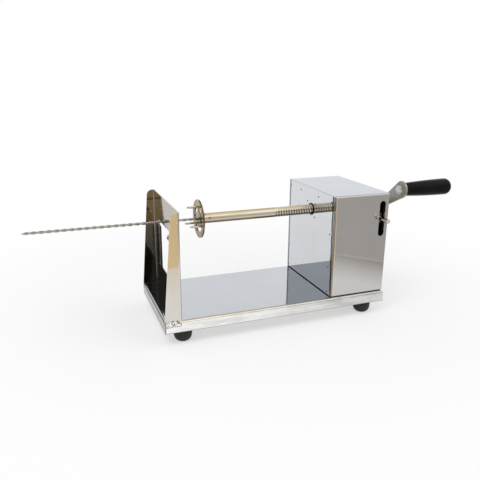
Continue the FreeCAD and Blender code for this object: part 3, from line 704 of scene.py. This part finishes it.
def make_thread():
    """The tube: plain next to the fork and behind the hub, with a right-hand thread between."""
    steps = 8                                  # rings in one turn of the thread
    count = int((THREAD_END - THREAD_START) / PITCH * steps)
    inner = CREST - TUBE_WALL
    before = ((TUBE_LOW.x, inner), (TUBE_LOW.x, CREST), (THREAD_START - THREAD_EASE, CREST))
    after = ((THREAD_END + THREAD_EASE, CREST), (TUBE_HIGH.x, CREST), (TUBE_HIGH.x, inner),
             (TUBE_HIGH.x - TUBE_OPEN, inner))
    rings = [ring_x(x, radius) for x, radius in before]
    for k in range(count + 1):
        x = THREAD_START + k * PITCH / steps
        fade = min(1.0, k / steps, (count - k) / steps)
        ring = []
        for i in range(AROUND):
            turn = i / AROUND
            phase = (x / PITCH - turn) % 1.0
            from_crest = abs(phase - 0.5) * 2 - THREAD_CREST
            depth = min(1.0, max(0.0, THREAD_FLANK * from_crest))
            radius = CREST - (CREST - THREAD_ROOT) * depth * fade
            angle = 2 * math.pi * turn
            ring.append(at(x, radius * math.cos(angle), AXIS + radius * math.sin(angle)))
        rings.append(ring)
    rings += [ring_x(x, radius) for x, radius in after]
    sharp(piece("threaded_shaft", [rings], "spindle", SHAFT, ["lead_screw"]))


def squarer(value):
    """Moves a sine or cosine outwards, which turns an oval into a bar with round corners."""
    return math.copysign(abs(value) ** NEEDLE_CORNER, value)


def make_needle():
    """A flat bar twisted along its length, ground to a point."""
    around = 16
    rings = []
    start, end = NEEDLE_LOW.x, NEEDLE_HIGH.x
    count = int((end - start) / NEEDLE_STEP)
    for k in range(count + 1):
        x = start + (end - start) * k / count
        taper = min(1.0, NEEDLE_TIP + (x - start) / NEEDLE_POINT)
        turn = 2 * math.pi * x / NEEDLE_LEAD
        ring = []
        for i in range(around):
            angle = 2 * math.pi * i / around
            wide = NEEDLE_RADIUS * taper * squarer(math.cos(angle))
            thin = NEEDLE_RADIUS * NEEDLE_FLAT * taper * squarer(math.sin(angle))
            ring.append(at(x, wide * math.cos(turn) - thin * math.sin(turn),
                           AXIS + wide * math.sin(turn) + thin * math.cos(turn)))
        rings.append(ring)
    piece("twisted_needle", [rings], "spindle", NEEDLE, ["needle"])


def make_sleeves():
    """The guide sleeves in both end plates, each with a thin ring that shows."""
    ring = PAN_LOW.x - SLEEVE_GAP
    inner = PAN_LOW.x + SLEEVE_REACH
    rim = (SLEEVE_HIGH.z - SLEEVE_LOW.z) / 2
    profile = [(ring - SLEEVE_RING, SLEEVE_BORE),
               (ring - SLEEVE_RING, SLEEVE_RING_RADIUS - SLEEVE_EDGE),
               (ring - SLEEVE_RING + SLEEVE_EDGE, SLEEVE_RING_RADIUS),
               (ring, SLEEVE_RING_RADIUS), (ring, SLEEVE_RADIUS), (inner, SLEEVE_RADIUS),
               (inner, rim), (inner + SLEEVE_FLARE, rim), (inner + SLEEVE_FLARE, SLEEVE_BORE)]
    profile.append(profile[0])
    skins = [[ring_x(x, r) for x, r in profile], [ring_x(MIRROR - x, r) for x, r in profile]]
    sharp(piece("guide_sleeves", skins, "sleeves", SLEEVE, ["shaft_sleeves"],
                closed=False))


def make_grip():
    """A moulded grip that swells towards its rounded end, with a recess for the bolt's head."""
    swell_steps, crown_steps = 30, 12
    start, end = GRIP_LOW.x, GRIP_HIGH.x
    full = GRIP_RADIUS + GRIP_SWELL
    profile = [(start + GRIP_BORE_START, GRIP_BORE), (start, GRIP_BORE),
               (start, GRIP_NECK - GRIP_EDGE), (start + GRIP_EDGE, GRIP_NECK)]
    straight = end - start - GRIP_CROWN - GRIP_EDGE
    for k in range(1, swell_steps + 1):
        t = k / swell_steps
        radius = GRIP_NECK + (full - GRIP_NECK) * math.sin(t * math.pi / 2) ** GRIP_CURVE
        profile.append((start + GRIP_EDGE + t * straight, radius))
    last = math.acos(1 - (full - GRIP_RECESS - GRIP_RIM) / GRIP_CROWN)
    for k in range(1, crown_steps + 1):
        a = k / crown_steps * last
        profile.append((end - GRIP_CROWN + GRIP_CROWN * math.sin(a) / math.sin(last),
                        full - GRIP_CROWN * (1 - math.cos(a))))
    floor = end - GRIP_RECESS_DEPTH
    profile += [(end - GRIP_RECESS_EDGE, GRIP_RECESS), (floor, GRIP_RECESS),
                (floor, GRIP_BORE), (floor - GRIP_BORE_END, GRIP_BORE)]
    rings = [ring_x(x, radius, GRIP_Y, GRIP_Z, count=56) for x, radius in profile]
    sharp(piece("moulded_grip", [rings], "grip", PLASTIC, ["grip"],
                closed=False), angle=50.0)


def make_feet():
    """Four wide rubber bowls under the base, each with a rim under the flange."""
    bowl_steps = 10
    height = FEET_HIGH.z
    profile = [(FOOT_FLAT, 0.0)]
    for k in range(1, bowl_steps + 1):
        a = k / bowl_steps * math.pi / 2
        profile.append((FOOT_FLAT + (FOOT_RADIUS - FOOT_LIP - FOOT_FLAT) * math.sin(a),
                        FOOT_BOWL * (1 - math.cos(a))))
    profile += [(FOOT_RADIUS, FOOT_BOWL + FOOT_RIM_LOW), (FOOT_RADIUS, height - FOOT_RIM_HIGH),
                (FOOT_RADIUS - FOOT_NECK, height - FOOT_NECK_HEIGHT),
                (FOOT_RADIUS - FOOT_NECK, height)]
    skins = []
    for x in (FEET_LOW.x + FOOT_RADIUS, FEET_HIGH.x - FOOT_RADIUS):
        for y in (FEET_LOW.y + FOOT_RADIUS, FEET_HIGH.y - FOOT_RADIUS):
            skins.append([ring_z(z, radius, x, y) for radius, z in profile])
    sharp(piece("rubber_feet", skins, "machine", RUBBER, ["feet"]), angle=50.0)


def spot_skin(x, y, z, way):
    """A small dished dot on a plate that faces way along X."""
    profile = ((SPOT_RADIUS, -SPOT_SUNK), (SPOT_RADIUS, SPOT_HEIGHT),
               (SPOT_RIM * SPOT_RADIUS, SPOT_HEIGHT),
               (SPOT_DISH * SPOT_RADIUS, SPOT_DISH * SPOT_HEIGHT))
    return [ring_x(x + way * rise, radius, y, z, count=14) for radius, rise in profile]


def make_spot_welds():
    """Rows of spot welds near the edges of both end plates, and round the shaft's guide."""
    top = COVER_HIGH.z - SPOT_TOP
    near, far = COVER_LOW.y + SPOT_NEAR, COVER_HIGH.y - SPOT_FAR
    places = [(y, top) for y in (far, *SPOT_TOP_ROW, near)]
    places += [(near, DECK + z) for z in SPOT_NEAR_COLUMN]
    places += [(far, DECK + z) for z in SPOT_FAR_COLUMN]
    places += [(y, AXIS + z) for y in (-SPOT_GUIDE_Y, SPOT_GUIDE_Y)
               for z in (-SPOT_GUIDE_Z, SPOT_GUIDE_Z)]
    skins = [spot_skin(PAN_LOW.x, y, z, -1) for y, z in places]
    skins += [spot_skin(MIRROR - PAN_LOW.x, y, z, 1) for y, z in places]
    piece("spot_welds", skins, "machine", SPOT)


def make_set_screws():
    """Two socket set screws through the tube's wall, which hold the fork's hub."""
    profile = ((SCREW_RADIUS, CREST - SCREW_SUNK), (SCREW_RADIUS, CREST + SCREW_PROUD),
               (SCREW_SOCKET, CREST + SCREW_PROUD), (SCREW_SOCKET, CREST - SCREW_HOLLOW))
    skins = []
    for x, angle in SCREW_PLACES:
        turn = math.radians(angle)
        out = Vector((0.0, -math.cos(turn), math.sin(turn)))
        side = Vector((0.0, math.sin(turn), math.cos(turn)))
        centre = Vector((x, 0.0, AXIS))
        skins.append([[at(*(centre + out * rise + radius * (Vector((c, 0, 0)) + side * s)))
                       for c, s in circle(1.0, 18)] for radius, rise in profile])
    sharp(piece("set_screws", skins, "spindle", SPOT))


def make_flange_rivets():
    """A small domed rivet near the top of each flange of the stand."""
    skins = [[ring_y(side * STAND_HIGH.y + side * rise, radius, RIVET_X, RIVET_Z)
              for radius, rise in RIVET_DOME] for side in (-1, 1)]
    piece("flange_rivets", skins, "machine", PIN)


def make_weld_seams():
    """Lumpy ground beads along the foot of each flange of the stand."""
    random.seed(4)
    across, steps, fade = 10, 46, 3
    start = STAND_LOW.x + SEAM_START
    length = STAND_HIGH.x - STAND_LOW.x - SEAM_ENDS
    skins = []
    for side in (-1, 1):
        face = side * TRAY_HIGH.y
        rings = []
        for k in range(steps + 1):
            x = start + length * k / steps
            rise = min(1.0, k / fade, (steps - k) / fade)
            ring = []
            for i in range(across + 1):
                t = i / across
                bulge = SEAM_LOW + SEAM_LUMP * random.random()
                lump = math.sin(t * math.pi) ** 0.5 * bulge * rise
                z = DECK - SEAM_DROP + SEAM_HEIGHT * t + SEAM_SHAKE * (random.random() - 0.5)
                ring.append(at(x, face + side * lump, z))
            ring += [at(x, face - side * SEAM_SUNK, DECK + z) for z in SEAM_BACK]
            rings.append(ring)
        skins.append(rings)
    piece("weld_seams", skins, "machine", WELD)


make_thread()
make_needle()
make_sleeves()
make_grip()
make_feet()
make_spot_welds()
make_set_screws()
make_flange_rivets()
make_weld_seams()


# ---- stage, light and camera ----------------------------------------------------------------

SENSOR = 36.0
LENS = 40.2127
EYE = (-284.2815, -674.3108, 328.6453)
AIM = (-34.039, 0.0, 107.892)
ROLL = 0.3005             # degrees
NEAR_CLIP = 0.01          # metres
FLOOR_REACH = 6.0         # metres from the middle to each side
FLOOR_FADE = (0.26, 0.58)             # metres from the middle, where the floor's white comes in
FLOOR_WHITE = (0.52, 1.0)             # its share at these two distances
LAMP_AIM = (0, 0, 0.08)   # metres
PAPER_CORNER = (203, -352, 0)         # where the edge of the paper under the object turns
PAPER_RUN = (217.0, 246.0)            # the edge's way back, to the right of that corner
PAPER_LINE = 4.0          # width of its bright line
PAPER_CLEAR = 130.0       # from the edge to where the card has faded away
CLOTH_START = (0.05, 0.20)            # metres along X, where cloth comes in beside the wood
SHADE_START = (0.22, 0.32)            # and where the paper gets darker still
FRONT_CARD = ((-1500, -215, 1), (-1500, -2500, 1), (1500, -2500, 1), (1500, 500, 1),
              (780, 500, 1), (150, -215, 1))
LEFT_CARD = ((-164, -46, 2), (-196, -46, 2), (-264, -362, 2), (-212, -362, 2))
WHITE = (1, 1, 1, 1)


def place_camera():
    """The photo's viewpoint, fitted to the corners of the base."""
    data = bpy.data.cameras.new("camera")
    data.sensor_width = SENSOR
    data.lens = LENS
    data.clip_start = NEAR_CLIP
    made = link_object("camera", data)
    eye = at(*EYE)
    forward = (at(*AIM) - eye).normalized()
    level = forward.cross(Vector((0, 0, 1))).normalized()
    over = level.cross(forward)
    roll = math.radians(ROLL)
    right = level * math.cos(roll) + over * math.sin(roll)
    up = right.cross(forward)
    turn = Matrix((right, up, -forward)).transposed().to_4x4()
    made.matrix_world = Matrix.Translation(eye) @ turn
    bpy.context.scene.camera = made


def ray_share(tree, *kinds):
    """1 for rays of the named kinds, else 0."""
    path = node(tree, "ShaderNodeLightPath")
    share = path.outputs[kinds[0]]
    for kind in kinds[1:]:
        share = calc(tree, "MAXIMUM", share, path.outputs[kind])
    return share


def background(tree, colour, strength=1.0):
    return node(tree, "ShaderNodeBackground", {"Color": colour, "Strength": strength}).outputs[0]


def studio_shade(tree):
    """What metal sees of the room in each direction: white behind the object, a warm ceiling
    with a bright band in front, a dimmer room on the left and a dark corner on the front left."""
    x, y, z = axes_of(tree, node(tree, "ShaderNodeTexCoord").outputs["Generated"])
    # The warm lamp hangs to the right, where the shaft shows it and the level sheets don't.
    lamp_x = 0.34
    off_lamp = calc(tree, "ABSOLUTE", calc(tree, "SUBTRACT", x, lamp_x))
    warm = falling(tree, off_lamp, 0.10, 0.24)
    cool = (0.90, 0.91, 0.93)
    gold = blended(tree, warm, cool, (1.0, 0.80, 0.44))
    brass = blended(tree, warm, cool, (0.60, 0.54, 0.40))
    overhead = rising(tree, z, 0.84, 0.93)
    ahead = blended(tree, rising(tree, z, 0.10, 0.20), (0.42, 0.33, 0.20), (0.72, 0.70, 0.65))
    ahead = blended(tree, rising(tree, z, 0.46, 0.60), ahead, (1.22, 1.2, 1.15))
    ahead = blended(tree, overhead, ahead, gold)
    behind = blended(tree, rising(tree, z, 0.42, 0.54), (1.0, 1.0, 1.0), brass)
    behind = blended(tree, overhead, behind, gold)
    shade = blended(tree, falling(tree, y, -0.30, 0.05), behind, ahead)
    shade = blended(tree, falling(tree, x, -0.34, 0.06), shade, (0.60, 0.61, 0.63))
    corner = product(tree, falling(tree, x, -0.22, -0.04), falling(tree, y, -0.40, -0.12))
    corner = product(tree, corner, falling(tree, z, 0.35, 0.55))
    return blended(tree, corner, shade, (0.30, 0.29, 0.28))


def make_world():
    """Even light, the studio's shade for metal, and plain white for the camera."""
    world = bpy.data.worlds.new("studio")
    bpy.context.scene.world = world
    world.use_nodes = True
    tree = world.node_tree
    tree.nodes.clear()
    light = background(tree, (0.98, 0.99, 1.0, 1), 0.70)
    room = background(tree, studio_shade(tree))
    seen = mixed_shader(tree, ray_share(tree, "Is Glossy Ray"), light, room)
    seen = mixed_shader(tree, ray_share(tree, "Is Camera Ray", "Is Transmission Ray"), seen,
                        background(tree, WHITE))
    node(tree, "ShaderNodeOutputWorld", {"Surface": seen})


def stage_piece(name, corners, material):
    """A flat face that is part of the stage."""
    mesh = bpy.data.meshes.new(name)
    shell = bmesh.new()
    shell.faces.new([shell.verts.new(corner) for corner in corners])
    shell.to_mesh(mesh)
    shell.free()
    mesh.materials.append(material)
    made = link_object(name, mesh)
    return made


def make_floor():
    """A pale floor that keeps a soft shadow near the object and turns plain white further out."""
    material, tree = blank("floor_paint")
    coords = object_coords(tree)
    grain = noise(tree, coords, scale=240.0, detail=3.0)
    tint = blended(tree, grain, (0.93, 0.93, 0.935), (0.95, 0.95, 0.955))
    paint = node(tree, "ShaderNodeBsdfPrincipled", {"Base Color": tint, "Roughness": 0.9})
    paint.inputs["Specular IOR Level"].default_value = 0.0
    far = ranged(tree, length_of(tree, coords), *FLOOR_WHITE, *FLOOR_FADE)
    share = product(tree, far,
                    ray_share(tree, "Is Camera Ray", "Is Glossy Ray", "Is Transmission Ray"))
    finish_material(tree, mixed_shader(tree, share, paint.outputs[0], glowing(tree, WHITE)))
    stage_piece("floor", [(-FLOOR_REACH, -FLOOR_REACH, 0), (FLOOR_REACH, -FLOOR_REACH, 0),
                          (FLOOR_REACH, FLOOR_REACH, 0), (-FLOOR_REACH, FLOOR_REACH, 0)], material)


def hidden_card(name, corners, material):
    """A card with corners in millimetres, which only polished faces see."""
    card = stage_piece(name, [at(*corner) for corner in corners], material)
    card.visible_camera = False
    card.visible_diffuse = False
    card.visible_shadow = False


def make_front_card():
    """The table past the paper's edge in front: wood on the left, cloth on the right. The edge
    itself is a bright line, and the paper next to it is shaded beige, more so to the right."""
    material, tree = blank("table_card")
    coords = object_coords(tree)
    x, y, _ = axes_of(tree, coords)
    grain = noise(tree, coords, scale=9.0, detail=3.0, stretch=(0.4, 3.0, 1))
    wood = blended(tree, grain, (0.78, 0.58, 0.30), (0.87, 0.67, 0.38))
    cloth = blended(tree, grain, (0.485, 0.457, 0.44), (0.53, 0.497, 0.48))
    beside = rising(tree, x, *CLOTH_START)
    shaded = blended(tree, beside, (0.88, 0.80, 0.68), (0.505, 0.472, 0.435))
    shaded = blended(tree, rising(tree, x, *SHADE_START), shaded, (0.36, 0.33, 0.30))
    # The paper's edge is level up to a corner, and slants back to the right of it.
    corner = at(*PAPER_CORNER)
    run = Vector(PAPER_RUN).normalized()
    from_x = calc(tree, "SUBTRACT", x, corner.x)
    from_y = calc(tree, "SUBTRACT", y, corner.y)
    slanted = calc(tree, "ADD", product(tree, from_x, -run.y), product(tree, from_y, run.x))
    paper = calc(tree, "MINIMUM", from_y, slanted)     # distance into the paper from its edge
    colour = blended(tree, beside, wood, cloth)
    colour = blended(tree, above(tree, paper, 0.0), colour, (0.80, 0.74, 0.70))
    colour = blended(tree, above(tree, paper, PAPER_LINE * MM), colour, shaded)
    clear = node(tree, "ShaderNodeBsdfTransparent").outputs[0]
    share = ranged(tree, paper, 0.1, 1.0, PAPER_LINE * MM, PAPER_CLEAR * MM)
    finish_material(tree, mixed_shader(tree, share, glowing(tree, colour), clear))
    hidden_card("front_card", FRONT_CARD, material)


def make_left_card():
    """A dark patch of the room low on the left."""
    material, tree = blank("dark_card")
    cloth = noise(tree, object_coords(tree), scale=12.0, detail=3.0)
    colour = blended(tree, cloth, (0.10, 0.09, 0.08), (0.22, 0.20, 0.17))
    finish_material(tree, glowing(tree, colour))
    hidden_card("left_card", LEFT_CARD, material)


def area_lamp(name, place, size, power):
    """A rectangular lamp, measured in metres, that metal doesn't mirror."""
    data = bpy.data.lights.new(name, "AREA")
    data.shape = "RECTANGLE"
    data.size, data.size_y = size
    data.energy = power
    made = link_object(name, data)
    made.visible_glossy = False
    made.location = place
    toward = Vector(LAMP_AIM) - Vector(place)
    made.rotation_euler = toward.to_track_quat("-Z", "Y").to_euler()


place_camera()
make_world()
make_floor()
make_front_card()
make_left_card()
area_lamp("key", place=(-0.7, -0.5, 1.5), size=(0.9, 0.9), power=8.0)
area_lamp("fill", place=(0.9, -0.7, 1.2), size=(1.2, 0.8), power=3.5)

bpy.context.scene.view_settings.view_transform = "Standard"
